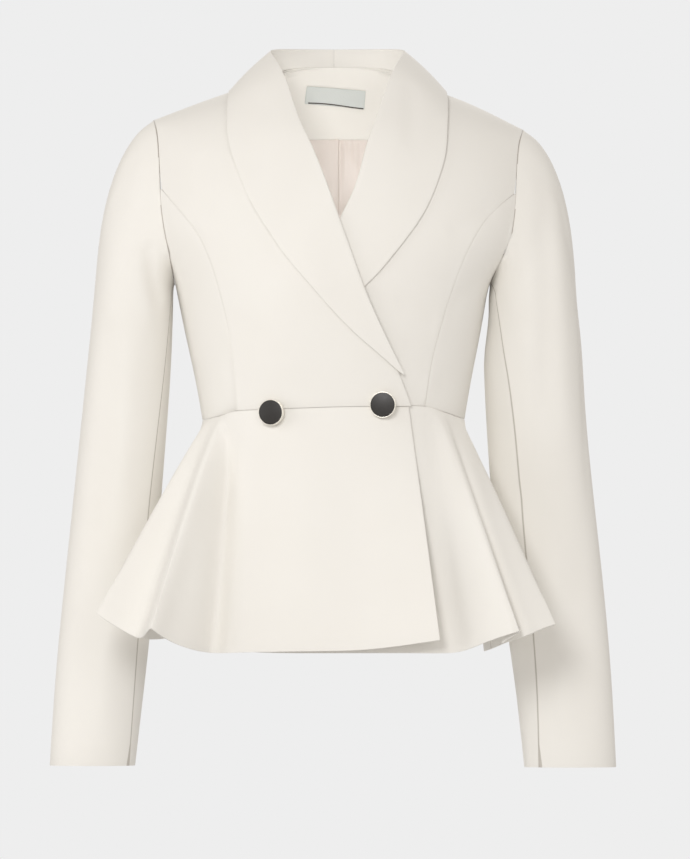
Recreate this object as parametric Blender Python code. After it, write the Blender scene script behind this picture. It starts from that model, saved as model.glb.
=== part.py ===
# A cropped jacket with a shawl collar, a double-breasted waist button and a flared peplum,
# kept in its worn, hollow form. Each piece that is cut and sewn is a solid of its own.
#
# Sizes are in millimetres until the meshes are made. +X is the wearer's left, -Y the front,
# +Z up. The origin lies between the neck points, where neck and shoulders carry the jacket.
import bisect
import math

import bmesh
import bpy
from mathutils import Matrix, Vector
from mathutils.bvhtree import BVHTree

MM = 0.001
WALL = 1.5                 # thickness of the interlined cloth
SEAM = 0.3                 # gap between two pieces at a seam
PLY = 1.2                  # air between a piece and the piece that lies on it
RIGHT, LEFT = -1, 1        # the wearer's right is at -X

CHEST_Z = -190.0           # height of the underarm
CHEST_RISE = 210.0         # from there to the back neck seam
SIDE_Y = 2.0               # side seams and shoulder seams run at this depth
FULLNESS = 2.4             # power of the rounded oblong that a level section makes
NECK_X = 3.5               # the neck's centre, which hangs a little to the wearer's left
NECK_HALF_WIDTH = 70.0     # of the back neck seam, from the centre to a neck point
NECK_HALF_DEPTH = 59.0
NECK_BLEND = 80.0          # the back is flatter up to the neck within this of the centre
NECK_FLATTER = 0.35
AXIS_DROP = 90.0           # normals below the shoulders point away from an axis up to here
ARMHOLE_SCOOP = 0.07       # how far the armhole cuts into the front and the back
SHOULDER_POWER = 0.53      # how roundly the cloth turns over the shoulder
SHOULDER_TURN = 0.3        # part of the armhole's height over which the scoop grows
LAP = 5.2                  # the right front's outer face above the left front's
LAP_MARGIN = 20.0          # the lap keeps its height this far past the left front's edge
LAP_RAMP = 26.0            # and comes down over this width

# Height, then half width, of the body and of the armhole seam as seen from the front.
SIDE_WIDTH = {
    RIGHT: [(-320, 126), (-283, 132), (-236, 143), (-190, 152), (-146, 160), (-129, 164),
            (-107, 166), (-78, 167), (-44, 169), (-31, 172.5), (-20, 174)],
    LEFT: [(-320, 125), (-287, 130), (-249, 139), (-197, 146), (-177, 154), (-154, 166),
           (-131, 172), (-107, 174), (-78, 175), (-53, 177), (-40, 181), (-30, 182)],
}
# Across, then height, of the shoulder seams and the back neck seam, and of the waist seam.
SHOULDER = [(-173, -31), (-120, -11), (-72, 6), (-58, 13), (-44, 19), (0, 20), (50, 19),
            (65, 13), (79, 5), (130, -15), (181, -40)]
WAIST = [(-126, -319), (-109, -315), (-88, -309), (-42, -307), (28, -305), (73, -305),
         (90, -306), (108, -312), (125, -318)]
# Height, then depth, along the centre front and the centre back below the underarm.
CENTRE_FRONT = [(-320, -96), (-283, -103), (-236, -112), (-190, -117), (-150, -118)]
CENTRE_BACK = [(-320, 84), (-283, 86), (-236, 93), (-190, 98), (-150, 98)]
# Height, then place across, of the princess seams. They run up into the armholes.
PRINCESS_FRONT = {
    RIGHT: [(-320, -90), (-309, -90), (-258, -95), (-234, -99.5), (-196, -109), (-150, -124),
            (-129, -138), (-112, -154), (-98, -169)],
    LEFT: [(-320, 87), (-306, 87), (-287, 89), (-262, 93), (-232, 101), (-201, 111),
           (-169, 122), (-144, 134), (-122, 149), (-99, 174)],
}
PRINCESS_BACK = [(-320, 58), (-280, 61), (-230, 70), (-180, 86), (-150, 103), (-125, 128),
                 (-98, 169)]
PRINCESS_TOP = 0.57        # row at which the side pieces end in the armhole
PRINCESS_TIP = 1.2         # width of a side piece there

# Height, then place across, of the roll lines, from the break up to the neck point.
ROLL = {
    RIGHT: [(-320, 75), (-305, 73), (-283, 69), (-277, 66), (-193, 28), (-165, 18), (-129, 5),
            (-50, -25), (-32, -36), (-20, -44), (-8, -54), (2, -62), (8, -67)],
    LEFT: [(-320, -75), (-305, -73), (-283, -69), (-277, -66), (-193, -22), (-165, -11),
           (-129, 5), (-97, 21), (-48, 34.5), (-32, 42), (-20, 51), (-8, 60), (2, 69), (8, 74)],
}
EDGE_INSET = 2.3           # a front's edge behind the collar's fold
# Across, then height, of each collar's outer edge below the shoulder.
COLLAR_EDGE = {
    RIGHT: [(-101, -40), (-99, -58), (-93, -76), (-80, -110), (-65, -134), (-48, -159),
            (-27, -184), (10, -226), (44, -256), (60, -271)],
    LEFT: [(107, -40), (106, -64), (101, -84), (90, -113), (76, -136), (53, -165),
           (37, -184), (-8, -226), (-42, -256), (-59, -271)],
}
COLLAR_END_Z = -274.0
COLLAR_START_Z = -36.0
# Round the neck: the side of the body it lies on, the fold, the outer edge, and the seam.
NECK_ROWS = [
    # lies on, fold x, fold y, fold z, edge x, edge z, seam x, seam z (back: the neck seam)
    ("back", 0, 71, 38.0, 0, -20, 0, None),
    ("back", 23, 68, 38.0, 30, -21, 21, None),
    ("back", 43, 56, 38.0, 60, -22, 40, None),
    ("back", 57, 38, 37.5, 86, -18, 54, None),
    ("back", 64, 18, 36.0, 99, -9, 65, None),
    ("back", 64.5, 8, 34.6, 102, -6, 69, None),
    ("front", 63.5, -1, 32.5, 103, -8, 69, 5),
    ("front", 58.5, -20, 25.5, 104, -16, 65, 0),
    ("front", 52.5, -37, 15.0, 104, -24, 58, -9),
    ("front", 46, -53, -3.0, 104, -33, 49, -21),
]
COLLAR_BULGE = 4.0
NECK_PLY = 3.4             # the collar stands off more round the neck
STAND_LIFT = 1.0           # the foot of the collar's stand above the neck seam
STAND_INSET = 0.4          # and how far it leans in at the sides
ROLL_INSET = 0.2
COLLAR_STEPS = 15

# Height, then outer and inner place across, of each sleeve seen from the front.
SLEEVE = {
    RIGHT: [(-192, -230, -153.5), (-234, -234, -154), (-280, -239, -156), (-319, -243, -159),
            (-376, -249, -164), (-453, -257, -169), (-527, -266, -175), (-585, -270, -183),
            (-651, -274, -190.5)],
    LEFT: [(-192, 233, 148), (-234, 238, 147), (-280, 240, 148), (-319, 242, 150),
           (-376, 248, 154), (-453, 257, 160), (-527, 265, 166.5), (-585, 269, 175),
           (-652, 272, 182)],
}
# Height, then depth of the middle and half depth, of both sleeves.
SLEEVE_DEPTH = [(-200, 4, 51), (-320, 16, 45), (-430, 27, 40), (-540, 34, 38), (-652, 36, 36)]
# Height, then place across, of the front seam between upper and under sleeve.
SLEEVE_SEAM = {
    RIGHT: [(-652, -197), (-528, -188), (-405, -178), (-319, -168), (-280, -163), (-205, -156)],
    LEFT: [(-652, 197), (-600, 197), (-522, 191.5), (-446, 186), (-372, 178.5), (-317, 174),
           (-230, 161), (-205, 154)],
}
BACK_SEAM_TURN = 292.0     # degrees round the sleeve, from the outer side over the front
UNDERARM_Z, OUTER_ARM_Z = -212.0, -192.0
CUFF_Z = {RIGHT: -651.0, LEFT: -652.5}
CAP_OUT, CAP_OUT_LOW = 27.0, 1.5
CAP_DROP, CAP_DROP_FRONT = 7.0, 5.0
CAP_FALL = 0.56
SLEEVE_ROUND = 0.92        # below 1, a sleeve's section is squarer than an ellipse
SLEEVE_RADIUS = 42.0       # its mean radius, for the gap at its seams
SEAM_START_TURN = 165.0    # degrees round the sleeve at which the front seam leaves the armhole
ARMHOLE_GAP = 0.6

# The peplum, once round from the right front's edge over the back to the left front's edge:
# where each ray leaves the waist seam and where it reaches the hem.
PEPLUM = [
    # lies on, waist x, hem x, hem y, hem z
    ("front", 73, 101, -146, -528),
    ("front", 50, 68, -138, -533),
    ("front", 20, 25, -131, -538),
    ("front", -20, -26, -126, -539),
    ("front", -60, -78, -118, -540),
    ("front", -82, -106, -110, -541),
    ("front", -90, -121, -108, -541),
    ("front", -97, -136, -124, -537),
    ("front", -104, -158, -147, -528),
    ("front", -109, -172, -161, -516),
    ("front", -113, -181, -147, -524),
    ("front", -116, -188, -127, -526),
    ("front", -119, -206, -121, -516),
    ("front", -121.5, -226, -116, -503),
    ("front", -123.5, -220, -94, -508),
    ("front", -125, -192, -62, -524),
    ("side", -126, -161, -25, -537),
    ("back", -125, -150, 8, -540),
    ("back", -121, -149, 42, -541),
    ("back", -115, -163, 80, -534),
    ("back", -108, -186, 114, -517),
    ("back", -99, -168, 126, -524),
    ("back", -88, -122, 104, -540),
    ("back", -70, -98, 120, -537),
    ("back", -55, -75, 152, -520),
    ("back", -41, -52, 140, -530),
    ("back", -25, -29, 113, -541),
    ("back", 0, -2, 127, -538),
    ("back", 25, 27, 114, -541),
    ("back", 40, 47, 138, -531),
    ("back", 54, 70, 155, -519),
    ("back", 69, 96, 122, -536),
    ("back", 87, 120, 103, -540),
    ("back", 98, 162, 124, -526),
    ("back", 107, 182, 116, -518),
    ("back", 114, 160, 80, -534),
    ("back", 120, 146, 42, -541),
    ("back", 124, 147, 10, -540),
    ("side", 125, 152, -22, -538),
    ("front", 124, 176, -64, -527),
    ("front", 122.5, 204, -98, -517),
    ("front", 120.5, 211, -119, -513),
    ("front", 116, 188, -126, -521),
    ("front", 111, 163, -128, -531),
    ("front", 107, 164, -136, -529),
    ("front", 103, 177, -146, -520),
    ("front", 99, 171, -151, -521),
    ("front", 95, 150, -139, -528),
    ("front", 90, 124, -116, -538),
    ("front", 82, 108, -107, -541),
    ("front", 60, 78, -110, -541),
    ("front", 30, 38, -114, -541),
    ("front", 0, 0, -117, -541),
    ("front", -40, -50, -112, -541),
    ("front", -69, -85, -104, -540),
]
WAIST_GAP = 0.9
FLARE_POWER = 0.94         # below 1, the peplum springs out a little at the waist seam
PEPLUM_TRIM = 0.012        # half a seam gap, as a part of the way from ray to ray

FACING_FOOT_ROW = 0.68
FACING_TOP_ROW = 0.993
LINING_HALF_WIDTH = 88.0
LINING_WALL = 1.0
FACING_HALF_WIDTH = 60.0
LINING_DEPTH = 4.6         # lining and facing lie this far inside the cloth's outer face
PLEAT_X, PLEAT_WIDTH, PLEAT_RISE = 4.0, 5.0, 5.0
LABEL_SIZE = (57.0, 19.0)
LABEL_CENTRE = (2.0, -9.0)
LABEL_TILT = -3.0
LABEL_WALL = 1.0

BUTTON_RADIUS = 12.2
BUTTON_RIM = 0.6
FACE_BEVEL = 0.5
BUTTON_HEIGHT = 3.4
BUTTON_STAND = 3.4
SHANK_RADIUS = 2.4
SHANK_FOOT = 1.2
BUTTONS = [("wearers_right", -61.0, -312.0, -7.0), ("wearers_left", 46.0, -304.5, -4.0)]

ROWS_BODY = [-1.0, -0.7, -0.35, 0.0, 0.15, 0.3, 0.44, PRINCESS_TOP, 0.68, 0.78, 0.87, 0.94,
             0.985, 1.0]


def smooth_line(rows):
    """Returns a smooth function through (where, value) rows that stays between them."""
    rows = sorted(rows)
    xs = [row[0] for row in rows]
    ys = [row[1] for row in rows]
    steps = [(ys[i + 1] - ys[i]) / (xs[i + 1] - xs[i]) for i in range(len(xs) - 1)]
    slopes = [steps[0]]
    for before, after in zip(steps, steps[1:]):
        slopes.append(0.0 if before * after <= 0 else 2 * before * after / (before + after))
    slopes.append(steps[-1])

    def value(x):
        x = min(max(x, xs[0]), xs[-1])
        i = min(max(bisect.bisect_right(xs, x) - 1, 0), len(xs) - 2)
        span = xs[i + 1] - xs[i]
        t = (x - xs[i]) / span
        return ((1 + 2 * t) * (1 - t) ** 2 * ys[i] + t * (1 - t) ** 2 * span * slopes[i]
                + t * t * (3 - 2 * t) * ys[i + 1] + t * t * (t - 1) * span * slopes[i + 1])

    return value


def smooth_step(x):
    x = min(max(x, 0.0), 1.0)
    return x * x * (3 - 2 * x)


def through(points, t):
    """A point on the smooth curve through the points; t counts points from the first."""
    i = min(max(int(t), 0), len(points) - 2)
    f = t - i
    p = [Vector(points[min(max(k, 0), len(points) - 1)]) for k in (i - 1, i, i + 1, i + 2)]
    return 0.5 * (2 * p[1] + (p[2] - p[0]) * f + (2 * p[0] - 5 * p[1] + 4 * p[2] - p[3]) * f ** 2
                  + (3 * p[1] - p[0] - 3 * p[2] + p[3]) * f ** 3)


side_width = {side: smooth_line(SIDE_WIDTH[side]) for side in (RIGHT, LEFT)}
shoulder_z = smooth_line(SHOULDER)
waist_z = smooth_line(WAIST)
centre = {"front": smooth_line(CENTRE_FRONT), "back": smooth_line(CENTRE_BACK)}
princess_front = {side: smooth_line(PRINCESS_FRONT[side]) for side in (RIGHT, LEFT)}
princess_back = smooth_line(PRINCESS_BACK)
roll = {side: smooth_line(ROLL[side]) for side in (RIGHT, LEFT)}
sleeve_outer = {s: smooth_line([(z, out) for z, out, _ in SLEEVE[s]]) for s in (RIGHT, LEFT)}
sleeve_inner = {s: smooth_line([(z, inn) for z, _, inn in SLEEVE[s]]) for s in (RIGHT, LEFT)}
sleeve_seam = {s: smooth_line(SLEEVE_SEAM[s]) for s in (RIGHT, LEFT)}
sleeve_middle = smooth_line([(z, middle) for z, middle, _ in SLEEVE_DEPTH])
sleeve_half = smooth_line([(z, half) for z, _, half in SLEEVE_DEPTH])


def row_z(x, row):
    """Rows run from -1 at the waist seam through 0 at the underarm to 1 at the shoulder."""
    if row >= 0:
        return CHEST_Z + (shoulder_z(x) - CHEST_Z) * row
    return CHEST_Z + (CHEST_Z - waist_z(x)) * row


def row_at(x, z):
    if z >= CHEST_Z:
        return (z - CHEST_Z) / (shoulder_z(x) - CHEST_Z)
    return (z - CHEST_Z) / (CHEST_Z - waist_z(x))


def neck_depth(x):
    """Depth of the back neck seam, which joins the shoulder seams at the neck points."""
    across = min(abs(x - NECK_X) / NECK_HALF_WIDTH, 1.0)
    return SIDE_Y + NECK_HALF_DEPTH * math.sqrt(1 - across ** 2)


def body_point(face, turn, row):
    """A point on the outer face; turn is 0 at the centre and 90 degrees at a side."""
    side = LEFT if turn >= 0 else RIGHT
    share = math.sin(abs(turn)) ** (2 / FULLNESS)
    x = 0.0
    for _ in range(14):
        z = row_z(x, row)
        x = side * side_width[side](z) * share
    scoop = ARMHOLE_SCOOP * smooth_step(row / SHOULDER_TURN)
    depth = max(1 - (share * (1 - scoop)) ** FULLNESS, 0.0) ** (1 / FULLNESS)
    if row < 0:
        middle = centre[face](z)
    else:
        top = neck_depth(x) if face == "back" else SIDE_Y
        near_neck = 1 - smooth_step(abs(x - NECK_X) / NECK_BLEND) if face == "back" else 0.0
        power = SHOULDER_POWER + NECK_FLATTER * near_neck
        middle = top + (centre[face](CHEST_Z) - top) * max(1 - row ** 2, 0.0) ** power
    return Vector((x, SIDE_Y + (middle - SIDE_Y) * depth, z))


def body_turn(x, z):
    side = LEFT if x >= 0 else RIGHT
    share = min(abs(x) / side_width[side](z), 1.0)
    return side * math.asin(share ** (FULLNESS / 2))


def outward(surface, u, v, low, high, hint):
    """Unit normal of a surface at (u, v), turned to the side that hint points to."""
    du, dv = 0.012, 0.012
    a = surface(min(u + du, high[0]), v) - surface(max(u - du, low[0]), v)
    b = surface(u, min(v + dv, high[1])) - surface(u, max(v - dv, low[1]))
    normal = a.cross(b).normalized()
    return normal if normal.dot(hint) >= 0 else -normal


QUARTER = math.pi / 2


def body_normal(face, turn, row):
    point = body_point(face, turn, row)
    hint = Vector((point.x, point.y, max(point.z + AXIS_DROP, 0.0)))
    low = (0.0 if turn >= 0 else -QUARTER, -1.0 if row < 0 else 0.0)
    high = (QUARTER if turn >= 0 else 0.0, 1.0)
    return outward(lambda u, v: body_point(face, u, v), turn, row, low, high, hint)


def on_body(face, turn, row, lift):
    return body_point(face, turn, row) + body_normal(face, turn, row) * lift


def at_body(face, x, z, lift):
    """The point of the front or back that is seen at x, z, moved out by lift."""
    return on_body(face, body_turn(x, z), min(row_at(x, z), 1.0), lift)


def lap_lift(x, z):
    """The right front rises over the left one, and comes down beside its hidden edge."""
    beyond = roll[LEFT](z) - LAP_MARGIN - x
    return LAP * (1 - smooth_step(beyond / LAP_RAMP))


def material(name, colour, roughness, metallic=0.0):
    found = bpy.data.materials.get(name)
    if found:
        return found
    made = bpy.data.materials.new(name)
    made.use_nodes = True
    shader = made.node_tree.nodes["Principled BSDF"]
    linear = [((c / 255) / 12.92 if c <= 10 else ((c / 255 + 0.055) / 1.055) ** 2.4)
              for c in colour]
    shader.inputs["Base Color"].default_value = (*linear, 1.0)
    shader.inputs["Roughness"].default_value = roughness
    shader.inputs["Metallic"].default_value = metallic
    made.diffuse_color = (*linear, 1.0)
    return made


def crepe():
    return material("wool_crepe", (242, 239, 232), 0.85)


def satin():
    return material("lining_satin", (225, 218, 210), 0.4)


def add_object(name, points, faces, finish):
    mesh = bpy.data.meshes.new(name)
    mesh.from_pydata([point * MM for point in points], [], faces)
    shape = bmesh.new()
    shape.from_mesh(mesh)
    bmesh.ops.recalc_face_normals(shape, faces=shape.faces)
    bmesh.ops.triangulate(shape, faces=shape.faces)
    shape.to_mesh(mesh)
    shape.free()
    mesh.shade_smooth()
    mesh.set_sharp_from_angle(angle=math.radians(50))
    mesh.materials.append(finish)
    made = bpy.data.objects.new(name, mesh)
    bpy.context.scene.collection.objects.link(made)
    return made


def cloth_wall(name, outer, inner, finish):
    """Closes two grids of points, the outer and the inner face, into one thin wall."""
    rows, columns = len(outer), len(outer[0])
    points = [point for row in outer for point in row] + [point for row in inner for point in row]
    half = rows * columns
    faces = []
    for i in range(rows - 1):
        for j in range(columns - 1):
            a = i * columns + j
            faces.append((a, a + 1, a + columns + 1, a + columns))
            faces.append((half + a, half + a + columns, half + a + columns + 1, half + a + 1))
    rim = list(range(columns))
    rim += [i * columns + columns - 1 for i in range(1, rows)]
    rim += [(rows - 1) * columns + j for j in range(columns - 2, -1, -1)]
    rim += [i * columns for i in range(rows - 2, 0, -1)]
    for a, b in zip(rim, rim[1:] + rim[:1]):
        faces.append((a, half + a, half + b, b))
    return add_object(name, points, faces, finish)


def body_panel(name, face, first_x, last_x, rows, columns, finish, lift=None, depth=0.0,
               wall=WALL):
    """A piece of the front or back between two seams, each given as x at a row."""
    outer, inner = [], []
    for row in rows:
        middle = body_turn(first_x(row), row_z(first_x(row), row))
        at = row
        if row in (rows[0], rows[-1]):
            inward = rows[1] if row == rows[0] else rows[-2]
            at = trimmed(lambda v: body_point(face, middle, v), row, inward)
        first, last = first_x(row), last_x(row)
        first_turn = body_turn(first, row_z(first, row))
        last_turn = body_turn(last, row_z(last, row))
        turn_a = trimmed(lambda u: body_point(face, u, at), first_turn, last_turn)
        turn_b = trimmed(lambda u: body_point(face, u, at), last_turn, first_turn)
        outer_row, inner_row = [], []
        for j in range(columns + 1):
            turn = turn_a + (turn_b - turn_a) * j / columns
            point = body_point(face, turn, at)
            normal = body_normal(face, turn, at)
            up = lift(point.x, point.z) if lift else -depth
            outer_row.append(point + normal * up)
            inner_row.append(point + normal * (up - wall))
        outer.append(outer_row)
        inner.append(inner_row)
    return cloth_wall(name, outer, inner, finish)


def trimmed(place, start, toward):
    """Moves a parameter toward another until its point has moved half a seam gap."""
    origin = place(start)
    low, high = 0.0, 1.0
    for _ in range(40):
        share = (low + high) / 2
        if (place(start + (toward - start) * share) - origin).length < SEAM / 2:
            low = share
        else:
            high = share
    return start + (toward - start) * high


def seam_x(line, row):
    """Where a seam that is given by height crosses a row."""
    x = line(CHEST_Z)
    for _ in range(30):
        x = 0.5 * x + 0.5 * line(row_z(x, row))
    return x


def side_x(side, row):
    x = side * side_width[side](CHEST_Z)
    for _ in range(20):
        x = side * side_width[side](row_z(x, row))
    return x


def princess_x(side, line, row):
    """The princess seam, which ends just short of the armhole at its top row."""
    if row > PRINCESS_TOP - 0.01:
        return side_x(side, row) - side * PRINCESS_TIP
    return seam_x(line, row)


def outer_x(side, line, row):
    """The outer limit of a centre piece: its princess seam, and above that the armhole."""
    if row > PRINCESS_TOP + 0.01:
        return side_x(side, row)
    return princess_x(side, line, row)


def make_fronts():
    upper = [row for row in ROWS_BODY if row <= PRINCESS_TOP]
    for side, word in ((RIGHT, "right"), (LEFT, "left")):
        edge = roll[side]
        lift = lap_lift if side == RIGHT else None
        body_panel(
            f"front_{word}", "front",
            lambda row: seam_x(edge, row) + side * EDGE_INSET,
            lambda row: outer_x(side, princess_front[side], row),
            ROWS_BODY, 11, crepe(), lift=lift)
        body_panel(
            f"side_front_{word}", "front",
            lambda row: princess_x(side, princess_front[side], row),
            lambda row: side_x(side, row),
            upper, 4, crepe())


def make_backs():
    upper = [row for row in ROWS_BODY if row <= PRINCESS_TOP]
    for side, word in ((RIGHT, "right"), (LEFT, "left")):
        def line(z):
            return side * princess_back(z)

        body_panel(
            f"back_{word}", "back",
            lambda row: side * 0.001,
            lambda row: outer_x(side, line, row),
            ROWS_BODY, 11, crepe())
        body_panel(
            f"side_back_{word}", "back",
            lambda row: princess_x(side, line, row),
            lambda row: side_x(side, row),
            upper, 4, crepe())


def armhole_point(side, angle):
    """Once round the armhole: 0 at the shoulder, 90 at the front, 180 under the arm."""
    face = "front" if angle <= 180 else "back"
    row = (1 + math.cos(math.radians(angle))) / 2
    return body_point(face, side * QUARTER, row) + Vector((side * ARMHOLE_GAP, 0, 0))


def arm_ring_point(side, angle, z):
    c, s = math.cos(math.radians(angle)), math.sin(math.radians(angle))
    outer, inner = sleeve_outer[side](z), sleeve_inner[side](z)
    x = (outer + inner) / 2 + (outer - inner) / 2 * math.copysign(abs(c) ** SLEEVE_ROUND, c)
    y = sleeve_middle(z) - sleeve_half(z) * math.copysign(abs(s) ** SLEEVE_ROUND, s)
    return Vector((x, y, z))


def sleeve_point(side, angle, along):
    """along runs from 0 at the armhole through 1 at the upper arm to 2 at the cuff."""
    turn = math.radians(angle)
    start_z = (OUTER_ARM_Z + UNDERARM_Z) / 2 + (OUTER_ARM_Z - UNDERARM_Z) / 2 * math.cos(turn)
    if along >= 1:
        return arm_ring_point(side, angle, start_z + (CUFF_Z[side] - start_z) * (along - 1))
    head = armhole_point(side, angle)
    foot = arm_ring_point(side, angle, start_z)
    high = (1 + math.cos(turn)) / 2
    out = CAP_OUT_LOW + CAP_OUT * high
    drop = CAP_DROP * high + CAP_DROP_FRONT * abs(math.sin(turn)) + 2.0
    first = head + Vector((side * out, 0, -drop))
    second = foot + Vector((0, 0, CAP_FALL * (head.z - foot.z)))
    t = along
    return (head * (1 - t) ** 3 + first * 3 * t * (1 - t) ** 2 + second * 3 * t * t * (1 - t)
            + foot * t ** 3)


def front_seam_turn(side, along):
    """Degrees round the sleeve at which the front seam lies."""
    low_turn = SEAM_START_TURN
    for _ in range(12):
        z = sleeve_point(side, low_turn, max(along, 1.0)).z
        outer, inner = sleeve_outer[side](z), sleeve_inner[side](z)
        share = ((outer + inner) / 2 - sleeve_seam[side](z)) / ((outer - inner) / 2)
        share = min(max(share, 0.05), 0.985)
        low_turn = 180 - math.degrees(math.acos(share ** (1 / SLEEVE_ROUND)))
    return SEAM_START_TURN + (low_turn - SEAM_START_TURN) * smooth_step(along)


def sleeve_piece(name, side, first, last, columns):
    """The part of a sleeve between two turns, each a function of the place along it."""
    alongs = [0.0, 0.12, 0.28, 0.5, 0.75, 1.0, 1.12, 1.26, 1.42, 1.6, 1.8, 2.0]
    trim = math.degrees(SEAM / 2 / SLEEVE_RADIUS)
    outer, inner = [], []
    for along in alongs:
        middle = sleeve_point(side, 0, along) + sleeve_point(side, 180, along)
        middle += sleeve_point(side, 90, along) + sleeve_point(side, 270, along)
        outer_row, inner_row = [], []
        for j in range(columns + 1):
            a = first(along) + trim
            b = last(along) - trim
            angle = a + (b - a) * j / columns
            point = sleeve_point(side, angle % 360, along)

            def near(u, v):
                return sleeve_point(side, math.degrees(u) % 360, v)

            hint = point - middle / 4
            low = (-9.0, 0.0 if along <= 1 else 1.0)
            high = (9.0, 2.0)
            normal = outward(near, math.radians(angle), along, low, high, hint)
            outer_row.append(point)
            inner_row.append(point - normal * WALL)
        outer.append(outer_row)
        inner.append(inner_row)
    return cloth_wall(name, outer, inner, crepe())


def make_sleeves():
    for side, word in ((RIGHT, "right"), (LEFT, "left")):
        sleeve_piece(f"sleeve_upper_{word}", side, lambda along: BACK_SEAM_TURN - 360,
                     lambda along: front_seam_turn(side, along), 13)
        sleeve_piece(f"sleeve_under_{word}", side, lambda along: front_seam_turn(side, along),
                     lambda along: BACK_SEAM_TURN, 7)


def peplum_ray(t):
    """The waist point and the hem point of a ray; t counts the rows of the table."""
    rays = [Vector((hx, hy, hz)) for _, _, hx, hy, hz in PEPLUM]
    i = min(int(t), len(PEPLUM) - 2)
    f = t - i
    turns = []
    for face, x, _, _, _ in PEPLUM[i:i + 2]:
        turn = abs(body_turn(x, waist_z(x)))
        turns.append((x, turn if face != "back" else math.pi - turn))
    if PEPLUM[i][0] == "side" or PEPLUM[i + 1][0] == "side":
        turns = [(x, QUARTER if PEPLUM[i + k][0] == "side" else turn)
                 for k, (x, turn) in enumerate(turns)]
    sides = [LEFT if x > 0 or (x == 0 and other > 0) else RIGHT
             for x, other in ((turns[0][0], turns[1][0]), (turns[1][0], turns[0][0]))]
    signed = [side * turn for side, (_, turn) in zip(sides, turns)]
    turn = signed[0] + (signed[1] - signed[0]) * f
    face = "back" if abs(turn) > QUARTER else "front"
    if face == "back":
        turn = math.copysign(math.pi - abs(turn), turn)
    waist = body_point(face, turn, -1.0)
    if face == "front" and t < len(PEPLUM) / 2:
        waist += body_normal(face, turn, -0.999) * lap_lift(waist.x, waist.z)
    return waist - Vector((0, 0, WAIST_GAP)), through(rays, t)


def peplum_point(t, down):
    waist, hem = peplum_ray(t)
    out = down ** FLARE_POWER
    return Vector((waist.x + (hem.x - waist.x) * out, waist.y + (hem.y - waist.y) * out,
                   waist.z + (hem.z - waist.z) * down))


def peplum_piece(name, first, last, splits):
    downs = [0.0, 0.1, 0.27, 0.5, 0.75, 1.0]
    count = round((last - first) * splits)
    outer, inner = [], []
    for down in downs:
        outer_row, inner_row = [], []
        for j in range(count + 1):
            t = first + PEPLUM_TRIM + (last - first - 2 * PEPLUM_TRIM) * j / count
            point = peplum_point(t, down)
            a = peplum_point(min(t + 0.04, last), down) - peplum_point(max(t - 0.04, first), down)
            b = (peplum_point(t, min(down + 0.02, 1.0))
                 - peplum_point(t, max(down - 0.02, 0.0)))
            normal = a.cross(b).normalized()
            outer_row.append(point)
            inner_row.append(point - normal * WALL)
        outer.append(outer_row)
        inner.append(inner_row)
    return cloth_wall(name, outer, inner, crepe())


def make_peplum():
    seams = [i for i, row in enumerate(PEPLUM) if row[0] == "side"]
    middle = (seams[0] + seams[1]) / 2
    peplum_piece("peplum_front_right", 0, seams[0], 2)
    peplum_piece("peplum_back_right", seams[0], middle, 2)
    peplum_piece("peplum_back_left", middle, seams[1], 2)
    peplum_piece("peplum_front_left", seams[1], len(PEPLUM) - 1, 2)


def body_form(lift):
    """A search tree of the whole body's outer face, for seating the collar on it."""
    points, faces = [], []
    turns = [QUARTER * (-1 + k / 24) for k in range(49)]
    for face in ("front", "back"):
        start = len(points)
        for row in ROWS_BODY:
            for turn in turns:
                up = 0.0
                if lift and face == "front":
                    point = body_point(face, turn, row)
                    up = lift(point.x, point.z)
                points.append(on_body(face, turn, row, up))
        for i in range(len(ROWS_BODY) - 1):
            for j in range(len(turns) - 1):
                a = start + i * len(turns) + j
                quad = (a, a + 1, a + len(turns) + 1, a + len(turns))
                faces.append(quad if face == "front" else quad[::-1])
    return BVHTree.FromPolygons(points, faces)


def seat(form, point, height, exactly=False):
    """Moves a point out until it is at least height above the form."""
    spot, normal, _, _ = form.find_nearest(point)
    above = (point - spot).dot(normal)
    if exactly or above < height:
        return spot + normal * height
    return point


def collar_station(form, fold, edge, neck, bulge, height):
    """One cross-section of the collar's middle layer: stand, fold and fall."""
    fall = []
    middle = (fold + edge) / 2
    _, normal, _, _ = form.find_nearest(middle)
    control = middle + normal * bulge
    for k in range(1, 8):
        t = k / 7
        point = fold * (1 - t) ** 2 + control * 2 * t * (1 - t) + edge * t * t
        fall.append(seat(form, point, height))
    stand = [neck, neck.lerp(fold, 0.5), neck.lerp(fold, 0.86)]
    return stand + [fold] + fall


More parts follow.
